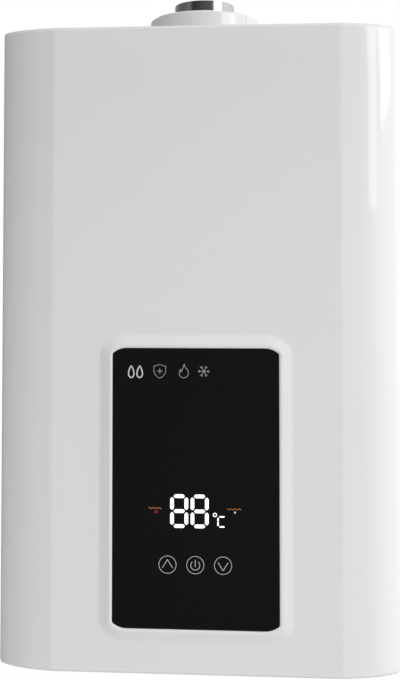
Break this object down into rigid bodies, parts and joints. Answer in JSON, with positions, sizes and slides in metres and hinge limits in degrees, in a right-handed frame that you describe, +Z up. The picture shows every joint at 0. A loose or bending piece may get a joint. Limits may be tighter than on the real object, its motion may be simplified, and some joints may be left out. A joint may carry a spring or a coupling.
{
  "type": "tankless gas water heater",
  "caption": "Wall-hung tankless gas water heater: curved white front cover, black touch display, chrome flue spigot in a white collar, pipe threads below.",
  "frame": {"origin": "on the wall plane, midway across and midway up the casing", "axes": "+X to the right seen from the front, +Y into the wall, +Z up"},
  "size_m": [0.37, 0.1782, 0.657],
  "materials": {
    "white_paint": "satin white powder paint",
    "panel_paint": "satin white powder paint",
    "zinc_sheet": "zinc coated",
    "plated_steel": "bright zinc",
    "black_glass": "polished",
    "flue_chrome": "polished",
    "black_rubber": "matt",
    "black_plastic": "fine texture",
    "grey_plastic": "fine texture",
    "white_plastic": "smooth",
    "green_board": "solder mask",
    "lamp_plastic": "clear",
    "fan_steel": "zinc coated",
    "hood_steel": "aluminised",
    "burner_steel": "stainless",
    "copper": "bare copper",
    "brass": "machined",
    "cast_alloy": "die cast",
    "coil_plastic": "moulded",
    "spring_steel": "drawn",
    "white_ceramic": "glazed",
    "red_silicone": "smooth"
  },
  "bodies": {
    "chassis": {"rear_panel": "zinc_sheet", "top_panel": "panel_paint", "bottom_panel": "panel_paint", "cover_screws": "plated_steel", "flue_collar": "white_paint", "collar_screws": "plated_steel", "flue_spigot": "flue_chrome", "flue_seal": "black_rubber", "outlet_box": "fan_steel", "fan_volute": "fan_steel", "volute_plate": "fan_steel", "fan_motor": "coil_plastic", "fume_hood": "hood_steel", "exchanger_shell": "copper", "exchanger_fins": "copper", "exchanger_tube": "copper", "coil_pipe": "copper", "hot_pipe": "copper", "burner_box": "burner_steel", "burner_bars": "burner_steel", "core_brackets": "zinc_sheet", "gas_manifold": "cast_alloy", "gas_jets": "brass", "gas_pipe": "plated_steel", "gas_valve": "cast_alloy", "solenoid_coils": "coil_plastic", "safety_spring": "spring_steel", "modulating_spring": "spring_steel", "gas_inlet": "brass", "cold_inlet": "brass", "turbine_spindle": "grey_plastic", "flow_pickup": "black_plastic", "inlet_filter": "grey_plastic", "hot_outlet": "brass", "outlet_probe": "brass", "pipe_nuts": "brass", "electrode_ceramics": "white_ceramic", "electrode_rods": "spring_steel", "ignition_module": "black_plastic", "ignition_lead": "red_silicone", "control_box": "grey_plastic", "control_board": "green_board", "control_lid": "grey_plastic", "cable_gland": "black_plastic"},
    "cover": {"front_cover": "white_paint", "panel_gasket": "black_rubber", "display_glass": "black_glass", "display_carrier": "black_plastic", "display_board": "green_board", "board_screws": "plated_steel", "digit_module": "white_plastic", "touch_pads": "spring_steel", "status_lamps": "lamp_plastic"},
    "fan_rotor": {"fan_impeller": "plated_steel", "motor_shaft": "spring_steel"},
    "turbine": {"flow_turbine": "white_plastic"},
    "safety_valve": {"safety_plunger": "plated_steel"},
    "modulating_valve": {"modulating_plunger": "plated_steel"},
    "drain_disc": {"drain_seal": "black_rubber"},
    "drain_cap": {"drain_knob": "black_plastic"}
  },
  "joints": [
    {"name": "cover_slide", "type": "slide", "parent": "chassis", "child": "cover", "axis": [0, -1, 0], "range_m": [0, 0.2]},
    {"name": "fan_spin", "type": "hinge", "parent": "chassis", "child": "fan_rotor", "pos_m": [-0.0515, -0.07, 0.18], "axis": [0, -1, 0], "continuous": true},
    {"name": "turbine_spin", "type": "hinge", "parent": "chassis", "child": "turbine", "pos_m": [0.1325, -0.095, -0.2627], "axis": [0, 0, 1], "continuous": true},
    {"name": "safety_lift", "type": "slide", "parent": "chassis", "child": "safety_valve", "axis": [0, 0, 1], "range_m": [0, 0.003], "stiffness_N_per_m": 300, "springref_m": -0.004, "deforming": ["safety_spring"]},
    {"name": "modulating_lift", "type": "slide", "parent": "chassis", "child": "modulating_valve", "axis": [0, 0, 1], "range_m": [0, 0.003], "stiffness_N_per_m": 300, "springref_m": -0.004, "deforming": ["modulating_spring"]},
    {"name": "drain_travel", "type": "slide", "parent": "chassis", "child": "drain_disc", "axis": [0, 0, -1], "range_m": [0, 0.003]},
    {"name": "drain_turn", "type": "hinge", "parent": "drain_disc", "child": "drain_cap", "pos_m": [0.1325, -0.061, -0.31], "axis": [0, 0, -1], "range_deg": [0, 720]}
  ],
  "couplings": [
    {"joint": "drain_turn", "follows": "drain_travel", "rad_per_m": 4188.8}
  ]
}
